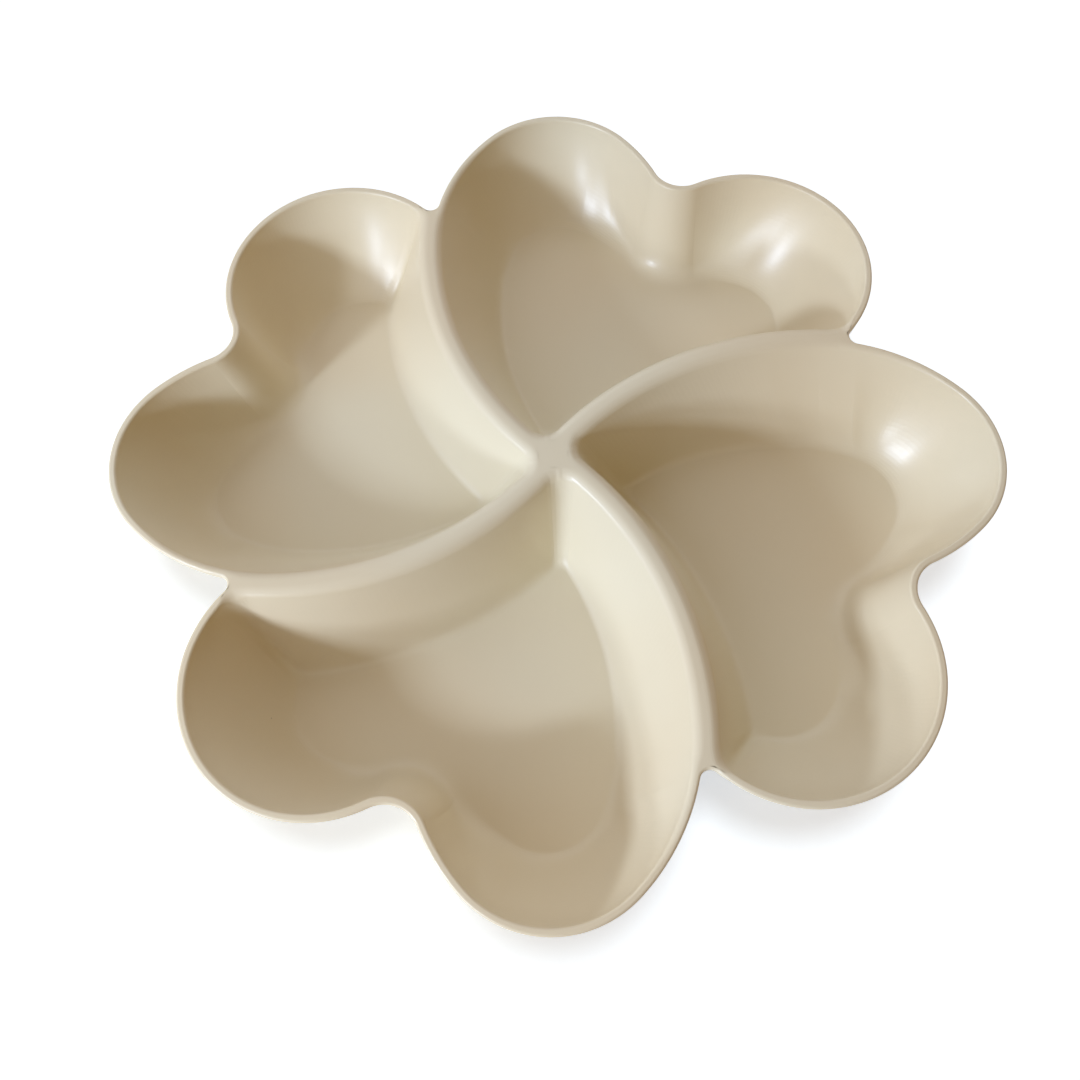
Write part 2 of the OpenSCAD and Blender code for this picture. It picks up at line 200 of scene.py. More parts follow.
class BowlShape(bpy.types.PropertyGroup):
    """The bowl's sizes, which are the CAD model's."""

    bowl_span: length_prop(
        "Bowl Span", "Width across two opposite lobes", 300 * MM, min=260 * MM, max=360 * MM
    )
    rim_height: length_prop(
        "Rim Height", "Height of the rim and the hub above the table", HUB_HIGH.z
    )
    wall_thickness: length_prop(
        "Wall Thickness",
        "Thickness of the walls and floors, and width of the rim lip",
        HUB_HIGH.z - HUB_LOW.z,
    )
    foot_height: length_prop("Foot Height", "Height of the foot ring under each well", 1.5 * MM)
    foot_width: length_prop("Foot Width", "Width of the foot ring under each well", 3 * MM)
    foot_inset: length_prop(
        "Foot Inset", "Distance from the edge of a well's floor to its foot ring", 1.5 * MM
    )
    foot_draft: length_prop(
        "Foot Draft", "Width that each side of the foot ring loses towards the table", 0.4 * MM
    )
    foot_corner_radius: length_prop(
        "Foot Corner Radius", "Outer radius of the foot ring's two tight corners", 6 * MM
    )
    crest_width: length_prop(
        "Crest Width", "Width of a dividing wall's crest, from well to well", 7 * MM
    )
    crest_radius: length_prop(
        "Crest Radius", "Radius that rounds both sides of a crest, where it has room", 4.6 * MM
    )
    lip_radius: length_prop(
        "Lip Radius", "Radius that rounds both sides of the rim lip", 0.9 * MM
    )
    hub_diameter: length_prop("Hub Diameter", "Diameter of the flat hub in the middle", 10 * MM)
    corner_radius: length_prop(
        "Corner Radius", "Radius of a well's inner corner at the rim", 10 * MM
    )
    tip_radius: length_prop(
        "Tip Radius", "Radius of a well's tip at the rim, next to the hub", 6.6 * MM
    )
    divider_foot: length_prop(
        "Divider Foot", "Reach of the rounding at the foot of a dividing wall", 5 * MM
    )
    lobe_foot: length_prop(
        "Lobe Foot", "Reach of the rounding at the foot of a lobe's outer wall", 18 * MM
    )
    nose_foot: length_prop(
        "Nose Foot", "Reach of the rounding at the foot of the nose between two lobes", 10 * MM
    )
    divider_straightness: share_prop(
        "Divider Straightness", "How straight a dividing wall runs down to its foot", 0.9
    )
    lobe_straightness: share_prop(
        "Lobe Straightness", "How straight a lobe's outer wall runs down to its foot", 0.35
    )


class BowlFinish(bpy.types.PropertyGroup):
    """The colours and the gloss of the moulding, with its painted warm shade."""

    moulding_colour: colour_prop(
        "Moulding Colour", "Colour of the beige moulding", (0.75, 0.684, 0.512), max=1
    )
    # The warm colour is partly the moulding's uneven tint and partly painted warm shade
    warm_tint_and_shade_colour: colour_prop(
        "Warm Tint And Shade", "Colour of the moulding's faint warmer clouds", (0.75, 0.644, 0.452), max=1
    )
    speck_colour: colour_prop(
        "Speck Colour", "Colour of the moulding's few tiny specks", (0.30, 0.24, 0.16), max=1
    )
    gloss_roughness: share_prop("Gloss Roughness", "Roughness of the satin gloss", 0.315)
    ior: number_prop(
        "IOR", "Refractive index of the moulding, which sets how much it mirrors", 1.52, min=1
    )


class BowlStudio(bpy.types.PropertyGroup):
    """The studio's light and floor."""

    floor_colour: colour_prop(
        "Floor Colour", "Colour of the studio floor", (0.84, 0.82, 0.72), max=1
    )
    floor_glow: colour_prop(
        "Floor Glow",
        "What the camera and reflections see on the floor besides the light on it",
        (0.55, 0.61, 0.685),
    )
    floor_strength: number_prop(
        "Floor Strength",
        "Strength of the even light from high up at the back, for the floor alone",
        1.38,
        min=0,
    )
    key_power: power_prop("Key Power", "Power of the key light, at the front left", 2.75)
    side_power: power_prop("Side Power", "Power of the lower light beside the key light", 1.32)
    fill_power: power_prop("Fill Power", "Power of the wide soft light behind the key light", 6.5)
    back_power: power_prop("Back Power", "Power of the wide soft light at the back", 7.9)
    lamp_colour: colour_prop("Lamp Colour", "Colour of the lamps", (0.845, 1.0, 1.275))
    sky_colour: colour_prop(
        "Sky Colour", "Colour of the even light from all round", (1.50, 0.85, 0.10)
    )
    sky_strength: number_prop(
        "Sky Strength", "Strength of the even light from all round", 0.150, min=0
    )


def operator_node(operation, reflected=False):
    """One of a wire's operators, which adds a Math node."""

    def apply(wire, other):
        values = (other, wire) if reflected else (wire, other)
        return wire.maker.maths(operation, *values)

    return apply


class Wire:
    """A node's output socket, so that maths on it is written as an expression."""

    def __init__(self, maker, socket):
        self.maker = maker
        self.socket = socket

    __add__, __radd__ = operator_node("ADD"), operator_node("ADD", reflected=True)
    __sub__, __rsub__ = operator_node("SUBTRACT"), operator_node("SUBTRACT", reflected=True)
    __mul__, __rmul__ = operator_node("MULTIPLY"), operator_node("MULTIPLY", reflected=True)
    __truediv__ = operator_node("DIVIDE")
    __mod__ = operator_node("FLOORED_MODULO")
    __gt__ = operator_node("GREATER_THAN")
    __lt__ = operator_node("LESS_THAN")

    def __neg__(self):
        return self * -1.0


class TreeMaker:
    """Adds nodes to a tree, with their settings and the values or links of their sockets."""

    # A Mix node's sockets for its two values and its result, by the kind of value
    MIX_SOCKETS = {"FLOAT": (2, 3, 0), "VECTOR": (4, 5, 1), "RGBA": (6, 7, 2)}

    def __init__(self, tree):
        self.tree = tree

    def node(self, kind, inputs=None, **settings):
        """Adds a node and returns it. Settings come first, since they change its sockets."""
        made = self.tree.nodes.new(kind)
        for name, value in settings.items():
            setattr(made, name, value)
        for name, value in (inputs or {}).items():
            if isinstance(value, Wire):
                self.tree.links.new(value.socket, made.inputs[name])
            else:
                made.inputs[name].default_value = value
        return made

    def wire(self, kind, inputs=None, output=0, **settings):
        """Adds a node and returns one of its outputs."""
        return Wire(self, self.node(kind, inputs, **settings).outputs[output])

    @staticmethod
    def has_axes(value):
        """Whether a value is a vector and not a number."""
        if isinstance(value, Wire):
            return value.socket.type in {"VECTOR", "RGBA"}
        return isinstance(value, Vector)

    def maths(self, operation, *values):
        """Maths on numbers, or on vectors, which a lone number scales."""
        inputs = dict(enumerate(values))
        vectors = [v for v in values if self.has_axes(v)]
        numbers = [v for v in values if not self.has_axes(v)]
        if not vectors:
            return self.wire("ShaderNodeMath", inputs, operation=operation)
        if operation == "MULTIPLY" and numbers:
            operation, inputs = "SCALE", {0: vectors[0], 3: numbers[0]}
        return self.wire("ShaderNodeVectorMath", inputs, operation=operation)

    def sin(self, angle):
        return self.maths("SINE", angle)

    def cos(self, angle):
        return self.maths("COSINE", angle)

    def tan(self, angle):
        return self.maths("TANGENT", angle)

    def angle_of(self, rise, run):
        return self.maths("ARCTAN2", rise, run)

    def dot(self, a, b):
        return self.wire("ShaderNodeVectorMath", {0: a, 1: b}, 1, operation="DOT_PRODUCT")

    def length(self, vector):
        return self.wire("ShaderNodeVectorMath", {0: vector}, 1, operation="LENGTH")

    def unit(self, vector):
        return self.wire("ShaderNodeVectorMath", {0: vector}, operation="NORMALIZE")

    def height(self, value):
        """The upright vector of a height."""
        return self.wire("ShaderNodeCombineXYZ", {2: value})

    def mix(self, kind, share, low, high):
        """A value between two values of one kind."""
        a, b, result = self.MIX_SOCKETS[kind]
        return self.wire("ShaderNodeMix", {0: share, a: low, b: high}, result, data_type=kind)

    def choose(self, test, where_true, where_false):
        """One of two vectors or numbers, by a test that is 0 or 1."""
        kind = "VECTOR" if self.has_axes(where_true) else "FLOAT"
        return self.mix(kind, test, where_false, where_true)

    def bezier(self, points, t):
        """The place at t on a curve of four points, each a pair of run and height."""
        u = 1 - t
        shares = (u * u * u, 3 * u * u * t, 3 * u * t * t, t * t * t)

        def along(axis):
            terms = (point[axis] * share for point, share in zip(points, shares))
            return sum(terms, next(terms))

        return along(0), along(1)


def heading_vector(heading):
    """The unit vector along a heading."""
    return Vector((math.cos(math.radians(heading)), math.sin(math.radians(heading))))


def bearing(vector):
    """The heading of a vector."""
    return math.degrees(math.atan2(vector.y, vector.x))


def turned(point, angle):
    """A point turned about the bowl's centre."""
    return Matrix.Rotation(math.radians(angle), 2) @ point


def angle_after(angle, start):
    """The angle with whole turns added, so that it is past the start."""
    return angle + 360 * math.ceil((start - angle) / 360)


def angle_before(angle, start):
    """The angle with whole turns taken off, so that it is short of the start."""
    return angle - 360 * math.ceil((angle - start) / 360)


def lerp(a, b, share):
    """The number, vector or wire that lies at a share of the way from a to b."""
    return a + (b - a) * share


def smooth(share):
    """Eases a share in and out."""
    held = min(max(share, 0.0), 1.0)
    return held * held * (3 - 2 * held)


def crossing(a, a_radius, b, b_radius, side):
    """Where two circles cross: on the left (1) or the right (-1) of the line from a to b."""
    distance = (b - a).length
    along = (distance**2 + a_radius**2 - b_radius**2) / (2 * distance)
    across = math.sqrt(max(a_radius**2 - along**2, 0.0))
    u = (b - a) / distance
    return a + u * along + side * across * Vector((-u.y, u.x))


class Arc:
    """A stretch of a circle between two headings."""

    def __init__(self, centre, radius, start, end):
        self.centre, self.radius, self.start, self.end = centre, radius, start, end

    def at(self, share):
        return self.centre + self.radius * heading_vector(lerp(self.start, self.end, share))


class HeartOutline:
    """A heart's outline in plan: two wall circles, the lobes inside them and their fillets."""

    def __init__(self, left, right, lobe, sides, cleft_radius, corner_radius, tip_radius):
        """The walls and the lobe are a centre and a radius each, the sides radii and headings."""
        (left, left_radius), (right, right_radius), (lobe, lobe_radius) = left, right, lobe
        side_radii, side_headings = sides
        low = left + heading_vector(side_headings[2]) * (left_radius - side_radii[2])
        middle = low + heading_vector(side_headings[1]) * (side_radii[2] - side_radii[1])
        high = middle + heading_vector(side_headings[0]) * (side_radii[1] - side_radii[0])
        cleft = crossing(high, side_radii[0] + cleft_radius, lobe, lobe_radius + cleft_radius, 1)
        corner_reach = right_radius + corner_radius
        corner = crossing(lobe, lobe_radius - corner_radius, right, corner_reach, 1)
        tip = crossing(left, left_radius - tip_radius, right, right_radius + tip_radius, -1)
        wall_start = angle_after(bearing(tip - right), 0)
        wall_end = bearing(corner - right)
        lobe_start = bearing(corner - lobe)
        lobe_end = bearing(cleft - lobe)
        side_start = bearing(cleft - high)
        side_end = angle_after(bearing(tip - left), 0)
        tip_end = angle_after(bearing(right - tip), 0)
        a, b, c = side_headings
        self.sections = (
            (Arc(right, right_radius, wall_start, wall_end),),
            (Arc(corner, corner_radius, bearing(right - corner), lobe_start),),
            (Arc(lobe, lobe_radius, lobe_start, lobe_end),),
            (Arc(cleft, cleft_radius, bearing(lobe - cleft), bearing(high - cleft)),),
            (
                Arc(high, side_radii[0], side_start, a),
                Arc(middle, side_radii[1], a, b),
                Arc(low, side_radii[2], b, c),
                Arc(left, left_radius, c, side_end),
            ),
            (Arc(tip, tip_radius, side_end, tip_end),),
        )

    def start(self, section):
        return self.sections[section][0].start

    def end(self, section):
        return self.sections[section][-1].end

    def heading(self, section, share):
        return lerp(self.start(section), self.end(section), share)

    def share(self, section, heading):
        return (heading - self.start(section)) / (self.end(section) - self.start(section))

    def point(self, section, share):
        heading = self.heading(section, share)
        arcs = self.sections[section]
        arc = next((a for a in arcs[:-1] if heading <= a.end), arcs[-1])
        return arc.centre + arc.radius * heading_vector(heading)

    def normal(self, section, share):
        """The normal that leaves the well."""
        side = -1 if section in (RIGHT_WALL, CLEFT) else 1
        return side * heading_vector(self.heading(section, share))


class HeartPlan:
    """One heart cup in plan, with its cleft on +Y: the rim, the floor's edge and the foot ring."""

    def __init__(self, shape):
        self.shape = shape
        self.radius = shape.bowl_span / 2
        self.hub_radius = shape.hub_diameter / 2
        self.divider_radius = DIVIDER_RADIUS_SHARE * self.radius
        self.right = DIVIDER_CENTRE_SHARE * self.radius
        self.left = turned(self.right, QUARTER_TURN)
        self.lobe = LOBE_CENTRE_SHARE * self.radius
        self.lobe_radius = LOBE_RADIUS_SHARE * self.radius
        self.rim = HeartOutline(
            (self.left, self.divider_radius - shape.crest_width / 2),
            (self.right, self.divider_radius + shape.crest_width / 2),
            (self.lobe, self.lobe_radius),
            ([s * self.radius for s in SIDE_RADIUS_SHARES], SIDE_HEADINGS),
            CLEFT_RADIUS_SHARE * self.radius + shape.wall_thickness,
            shape.corner_radius,
            shape.tip_radius,
        )
        self.floor = self.floor_outline(
            0.0, FLOOR_CORNER_RADIUS_SHARE * self.radius, FLOOR_TIP_RADIUS_SHARE * self.radius
        )
        across = (0.0, shape.foot_draft, shape.foot_width - shape.foot_draft, shape.foot_width)
        self.feet = [
            self.floor_outline(
                shape.foot_inset + a, shape.foot_corner_radius - a, shape.foot_corner_radius - a
            )
            for a in across
        ]
        self.set_seams_and_notches()

    def floor_outline(self, inset, corner_radius, tip_radius):
        """The edge of the well's floor, drawn in by an inset."""
        radius = self.radius
        return HeartOutline(
            (FLOOR_LEFT_CENTRE_SHARE * radius, FLOOR_LEFT_RADIUS_SHARE * radius - inset),
            (FLOOR_RIGHT_CENTRE_SHARE * radius, FLOOR_RIGHT_RADIUS_SHARE * radius + inset),
            (FLOOR_LOBE_CENTRE_SHARE * radius, FLOOR_LOBE_RADIUS_SHARE * radius - inset),
            ([s * radius - inset for s in FLOOR_SIDE_RADIUS_SHARES], FLOOR_SIDE_HEADINGS),
            FLOOR_CLEFT_RADIUS_SHARE * radius + inset,
            corner_radius,
            tip_radius,
        )

    def set_seams_and_notches(self):
        """Finds where the cup meets its neighbours, and the notches between their lobes."""
        wall = self.shape.wall_thickness
        low_side = self.rim.sections[LEFT_SIDE][2]
        notch_radius = NOTCH_RADIUS_SHARE * self.radius
        notch = crossing(
            low_side.centre,
            low_side.radius + wall + notch_radius,
            turned(self.lobe, QUARTER_TURN),
            self.lobe_radius + wall + notch_radius,
            -1,
        )
        notch_end = crossing(self.left, self.divider_radius, notch, notch_radius, 1)
        hub_end = crossing(self.left, self.divider_radius, Vector((0, 0)), self.hub_radius, -1)
        self.seam_end = angle_after(bearing(notch_end - self.left), 0) - QUARTER_TURN
        self.seam_start = angle_after(bearing(hub_end - self.left), 0) - QUARTER_TURN
        self.left_notch = Arc(
            notch, notch_radius, bearing(low_side.centre - notch), bearing(notch_end - notch)
        )
        right_notch = turned(notch, -QUARTER_TURN)
        right_start = bearing(notch_end - notch) - QUARTER_TURN
        right_end = angle_before(bearing(self.lobe - right_notch), right_start)
        self.right_notch = Arc(right_notch, notch_radius, right_start, right_end)
        self.notch_heading = angle_after(bearing(notch - low_side.centre), 0)
        self.lobe_heading = bearing(right_notch - self.lobe)
        self.left_end_heading = lerp(self.notch_heading, SIDE_HEADINGS[2], 0.5)
        self.hub_start = bearing(
            self.left + self.divider_radius * heading_vector(self.seam_start + QUARTER_TURN)
        )

    def rim_station(self, section, share):
        """A station on the open rim: its section, its share, the outer boundary's point and
        normal there, and that it is open."""
        normal = self.rim.normal(section, share)
        point = self.rim.point(section, share) + self.shape.wall_thickness * normal
        return section, share, point, normal, True

    def right_seam_station(self, step):
        """A station on the middle of the right dividing wall's crest."""
        heading = lerp(self.seam_start, self.seam_end, step / SEAM_COLUMNS)
        outward = -heading_vector(heading)
        point = self.right - self.divider_radius * outward
        tip, corner = self.rim.start(RIGHT_WALL), self.rim.end(RIGHT_WALL)
        if heading > tip:
            share = lerp(1, TIP_HUB_END_SHARE, (heading - tip) / (self.seam_start - tip))
            return TIP, share, point, outward, False
        if heading < corner:
            share = CORNER_SEAM_SHARE * (corner - heading) / (corner - self.seam_end)
            return CORNER, share, point, outward, False
        return RIGHT_WALL, self.rim.share(RIGHT_WALL, heading), point, outward, False

    def left_seam_station(self, step):
        """A station on the middle of the left dividing wall's crest."""
        start, end = self.seam_start + QUARTER_TURN, self.seam_end + QUARTER_TURN
        heading = lerp(start, end, step / SEAM_COLUMNS)
        outward = heading_vector(heading)
        point = self.left + self.divider_radius * outward
        tip, side = self.rim.end(LEFT_SIDE), SIDE_HEADINGS[2]
        if heading > tip:
            share = TIP_HUB_START_SHARE * (heading - tip) / (start - tip)
            return TIP, share, point, outward, False
        if heading < side:
            heading = lerp(side, self.left_end_heading, (side - heading) / (side - end))
        return LEFT_SIDE, self.rim.share(LEFT_SIDE, heading), point, outward, False

    def stations(self):
        """Every station round the cup, in order."""
        rim = self.rim
        found = [self.right_seam_station(i) for i in range(SEAM_COLUMNS)]
        for i in range(NOTCH_COLUMNS):
            point = self.right_notch.at(i / NOTCH_COLUMNS)
            share = lerp(CORNER_SEAM_SHARE, CORNER_NOTCH_SHARE, i / NOTCH_COLUMNS)
            normal = (self.right_notch.centre - point).normalized()
            found.append((CORNER, share, point, normal, True))
        for i in range(LOBE_START_COLUMNS):
            t = i / LOBE_START_COLUMNS
            normal = heading_vector(lerp(self.lobe_heading, rim.start(RIGHT_LOBE), t))
            point = self.lobe + (self.lobe_radius + self.shape.wall_thickness) * normal
            found.append((CORNER, lerp(CORNER_NOTCH_SHARE, 1, t), point, normal, True))
        found += [self.rim_station(RIGHT_LOBE, i / LOBE_COLUMNS) for i in range(LOBE_COLUMNS)]
        found += [self.rim_station(CLEFT, i / CLEFT_COLUMNS) for i in range(CLEFT_COLUMNS)]
        for arc, columns in zip(rim.sections[LEFT_SIDE], SIDE_COLUMNS):
            end = min(arc.end, self.notch_heading)
            for i in range(columns):
                share = rim.share(LEFT_SIDE, lerp(arc.start, end, i / columns))
                found.append(self.rim_station(LEFT_SIDE, share))
        for i in range(NOTCH_COLUMNS + 1):
            t = i / NOTCH_COLUMNS
            point = self.left_notch.at(t)
            heading = lerp(self.notch_heading, self.left_end_heading, t)
            normal = (self.left_notch.centre - point).normalized()
            found.append((LEFT_SIDE, rim.share(LEFT_SIDE, heading), point, normal, True))
        found += [self.left_seam_station(i) for i in range(SEAM_COLUMNS - 1, -1, -1)]
        for i in range(1, HUB_COLUMNS):
            t = i / HUB_COLUMNS
            outward = -heading_vector(self.hub_start - QUARTER_TURN * t)
            share = lerp(TIP_HUB_START_SHARE, TIP_HUB_END_SHARE, t)
            found.append((TIP, share, -self.hub_radius * outward, outward, False))
        return found

    def side_share(self, share):
        """How far down the left side's lower lobe a station is."""
        heading = self.rim.heading(LEFT_SIDE, share)
        return (heading - SIDE_HEADINGS[1]) / (SIDE_HEADINGS[2] - SIDE_HEADINGS[1])

    def lobe_weight(self, section, share):
        """How much a station belongs to a lobe's outer wall, and not to a dividing wall."""
        if section == CORNER:
            return smooth(share)
        if section == LEFT_SIDE:
            return 1 - smooth(self.side_share(share))
        return 1.0 if section in (RIGHT_LOBE, CLEFT) else 0.0

    def nose_weight(self, section, share):
        """How much a station belongs to the nose between the two lobes."""
        if section == RIGHT_LOBE:
            return smooth(1 - (1 - share) / NOSE_LOBE_SHARE)
        if section == LEFT_SIDE:
            return smooth(1 - share / (NOSE_LOBE_SHARE / 2))
        return 1.0 if section == CLEFT else 0.0

    def crest_weight(self, section, share):
        """How much of the crest's wide rounding a station has, and not the lip's narrow one."""
        if section == CORNER:
            return 1 - smooth((share - CORNER_SEAM_SHARE) / (1 - CORNER_SEAM_SHARE))
        if section == LEFT_SIDE:
            return smooth(self.side_share(share))
        return 0.0 if section in (RIGHT_LOBE, CLEFT) else 1.0

    def web_weight(self, section, share, is_open):
        """How much the underside is still the flat web under a crest."""
        if not is_open:
            return 1.0
        if section == CORNER:
            return 1 - smooth((share - CORNER_NOTCH_SHARE) / (1 - CORNER_NOTCH_SHARE))
        if section == LEFT_SIDE:
            heading = self.rim.heading(LEFT_SIDE, share)
            past = heading - SIDE_HEADINGS[1]
            return smooth(past / (self.notch_heading - SIDE_HEADINGS[1]))
        return 0.0

    def mesh(self):
        """The plan as a mesh: a vertex on the rim for each station, with what is known there."""
        stations = self.stations()
        mesh = bpy.data.meshes.new("heart_plan")
        mesh.from_pydata([(*self.rim.point(s, t), 0.0) for s, t, *_ in stations], [], [])
        found = {
            "rim_out": self.rim.normal,
            "floor": self.floor.point,
            "floor_out": self.floor.normal,
            "lobe": self.lobe_weight,
            "nose": self.nose_weight,
            "crest": self.crest_weight,
        }
        found.update({f"foot_{i}": foot.point for i, foot in enumerate(self.feet)})
        for name, at in found.items():
            self.note(mesh, name, [at(s, t) for s, t, *_ in stations])
        self.note(mesh, "boundary", [b for _, _, b, _, _ in stations])
        self.note(mesh, "boundary_out", [n for _, _, _, n, _ in stations])
        self.note(mesh, "open", [float(o) for *_, o in stations])
        self.note(mesh, "web", [self.web_weight(s, t, o) for s, t, _, _, o in stations])
        return mesh

    @staticmethod
    def note(mesh, name, values):
        """Stores a number or a plan vector on each vertex of the plan."""
        if isinstance(values[0], Vector):
            attribute = mesh.attributes.new(name, "FLOAT_VECTOR", "POINT")
            flat = [x for v in values for x in (v.x, v.y, 0.0)]
            attribute.data.foreach_set("vector", flat)
        else:
            attribute = mesh.attributes.new(name, "FLOAT", "POINT")
            attribute.data.foreach_set("value", values)


class HeartCupTree:
    """The Geometry Nodes that raise a heart cup from its plan: at each station of the plan a
    section runs from the floor's edge over the rim and down the outside to the foot ring."""

    # Each size has the label of its property
    SIZES = (
        "Rim Height",
        "Wall Thickness",
        "Foot Height",
        "Crest Radius",
        "Lip Radius",
        "Divider Foot",
        "Lobe Foot",
        "Nose Foot",
        "Divider Straightness",
        "Lobe Straightness",
    )
    ROWS = {"Wall Rows": 26, "Crest Rows": 7, "Lip Rows": 7, "Outer Rows": 14}

    # The flat ring, a last row of wall, lip and outside, the edge under the lip, the foot's four
    OTHER_ROWS = 9
    SHARP_EDGE = math.radians(40)
    FLOOR_RING = 1.5 * MM

    def __init__(self):
        self.tree = bpy.data.node_groups.new("heart_cup", "GeometryNodeTree")
        self.maker = TreeMaker(self.tree)
        self.sockets = {}
        self.add_inputs()
        source = self.maker.node("NodeGroupInput")
        self.inputs = {s.name: Wire(self.maker, s) for s in source.outputs if s.name}
        self.build()

    def add_inputs(self):
        """Gives the tree its named inputs and its output."""
        add = self.tree.interface.new_socket
        add("Geometry", in_out="OUTPUT", socket_type="NodeSocketGeometry")
        kinds = {"Plan": "Geometry", "Finish": "Material", "Turn": "Float"}
        kinds.update(dict.fromkeys(self.SIZES, "Float"))
        kinds.update(dict.fromkeys(self.ROWS, "Int"))
        for name, kind in kinds.items():
            socket = add(name, in_out="INPUT", socket_type=f"NodeSocket{kind}")
            self.sockets[name] = socket.identifier
            if kind == "Float" and "Straightness" not in name:
                socket.subtype = "ANGLE" if name == "Turn" else "DISTANCE"

    def noted(self, name, kind="FLOAT"):
        """What the plan's mesh holds under a name."""
        return self.maker.wire("GeometryNodeInputNamedAttribute", {"Name": name}, data_type=kind)

    def noted_vector(self, name):
        return self.noted(name, "FLOAT_VECTOR")

    def section_place(self, row):
        """The place of a row's point at a station, over all the rows of the section. Rows are
        whole numbers, so a test for one lies half a row before it."""
        m, given = self.maker, self.inputs
        rim = m.wire("GeometryNodeInputPosition")
        rim_out = self.noted_vector("rim_out")
        floor, floor_out = self.noted_vector("floor"), self.noted_vector("floor_out")
        boundary = self.noted_vector("boundary")
        boundary_out = self.noted_vector("boundary_out")
        is_open, lobe = self.noted("open"), self.noted("lobe")
        nose, crest, web = self.noted("nose"), self.noted("crest"), self.noted("web")

        thick, lip_radius = given["Wall Thickness"], given["Lip Radius"]
        rim_height = given["Rim Height"]
        depth = rim_height - thick - given["Foot Height"]
        wall_rows, crest_rows = given["Wall Rows"], given["Crest Rows"]
        lip_rows, outer_rows = given["Lip Rows"], given["Outer Rows"]

        to_floor = floor - rim
        run = m.length(to_floor)
        inward = m.unit(to_floor)
        foot = lerp(given["Divider Foot"], given["Lobe Foot"], lobe)
        foot = lerp(foot, given["Nose Foot"], nose)
        straight = lerp(
            given["Divider Straightness"], given["Lobe Straightness"], lobe * (1 - nose)
        )
        slope = m.angle_of(depth, run - foot)
        half_tangent = m.tan(slope * 0.5)
        room = m.dot(boundary - rim, rim_out) - is_open * lip_radius
        edge_radius = m.maths(
            "MINIMUM",
            lerp(lip_radius, given["Crest Radius"], crest),
            room * EDGE_ROOM_SHARE / half_tangent,
        )
        tangent = edge_radius * half_tangent

        def placed(at_run, at_height):
            inside = at_run > 0.0
            across = m.choose(inside, inward, -rim_out)
            return rim + across * at_run + m.height(at_height + rim_height)

        def handled(top, corner, end):
            return (
                top,
                tuple(lerp(a, b, straight) for a, b in zip(top, corner)),
                tuple(lerp(a, b, straight) for a, b in zip(end, corner)),
                end,
            )

        wall_curve = handled(
            (tangent * m.cos(slope), -tangent * m.sin(slope)),
            (run - foot, -depth),
            (run, -depth),
        )
        wall = placed(*m.bezier(wall_curve, 1 - (row - 1) / wall_rows))
        flat = floor - floor_out * self.FLOOR_RING + m.height(rim_height - depth)
        wall = m.choose(row > 0.5, wall, flat)

        crest_angle = slope * (1 - (row - wall_rows - 1) / crest_rows)
        edge = placed(
            edge_radius * (m.sin(crest_angle) - half_tangent),
            edge_radius * (m.cos(crest_angle) - 1),
        )

        first_lip = wall_rows + crest_rows + 2
        lip_step = row - first_lip
        lip_angle = lip_step / lip_rows * math.radians(QUARTER_TURN)
        rounded = (
            boundary
            + boundary_out * (lip_radius * (m.sin(lip_angle) - 1))
            + m.height(lip_radius * (m.cos(lip_angle) - 1) + rim_height)
        )
        seam = boundary + m.height(rim_height - thick * lip_step / (lip_rows + 1))
        lip = m.choose(is_open, rounded, seam)

        drop = lerp(lip_radius * (1 + LIP_START_SHARE), thick, web)
        under_lip = boundary + m.height(rim_height - drop)

        web_drop = lerp(lip_radius + LIP_START_SHARE * thick, thick, web)
        top_skew = -m.dot(inward, rim_out)
        foot_skew = -m.dot(inward, floor_out)
        top_slope = m.angle_of(m.tan(slope), top_skew)
        foot_slope = m.angle_of(m.tan(slope), foot_skew)
        outer_foot = -depth - thick
        outer_curve = handled(
            (web_drop / m.tan(top_slope) - thick / m.sin(top_slope), -web_drop),
            ((depth + thick) / m.tan(slope) - thick / m.sin(foot_slope) / foot_skew, outer_foot),
            (run, outer_foot),
        )
        first_outer = first_lip + lip_rows + 2
        outer = placed(*m.bezier(outer_curve, (row - first_outer) / outer_rows))

        last_outer = first_outer + outer_rows
        foot_row = row - last_outer
        # Of the foot ring's four rows, the second and the third are on the table
        on_table = (foot_row > 1.5) * (foot_row < 3.5)
        foot_lines = [self.noted_vector(f"foot_{i}") for i in range(4)]
        foot_line = foot_lines[0]
        for i in range(1, 4):
            foot_line = m.choose(foot_row > i + 0.5, foot_lines[i], foot_line)
        foot_ring = foot_line + m.height(given["Foot Height"] * (1 - on_table))

        place = m.choose(row > last_outer + 0.5, foot_ring, outer)
        place = m.choose(row > first_outer - 0.5, place, under_lip)
        place = m.choose(row > first_outer - 1.5, place, lip)
        place = m.choose(row > first_lip - 0.5, place, edge)
        return m.choose(row > wall_rows + 1.5, place, wall)

    def build(self):
        """Lofts the sections into a closed cup, turns it and gives it its finish."""
        m, given = self.maker, self.inputs
        rows = given["Wall Rows"] + given["Crest Rows"] + given["Lip Rows"] + given["Outer Rows"]
        rows = rows + self.OTHER_ROWS
        plan = {"Geometry": given["Plan"]}
        columns = m.wire("GeometryNodeAttributeDomainSize", plan, component="MESH")
        copies = m.node("GeometryNodeDuplicateElements", {**plan, "Amount": rows}, domain="POINT")
        place = self.section_place(Wire(m, copies.outputs["Duplicate Index"]))
        points = {"Geometry": Wire(m, copies.outputs["Geometry"]), "Position": place}
        points = m.wire("GeometryNodeSetPosition", points)

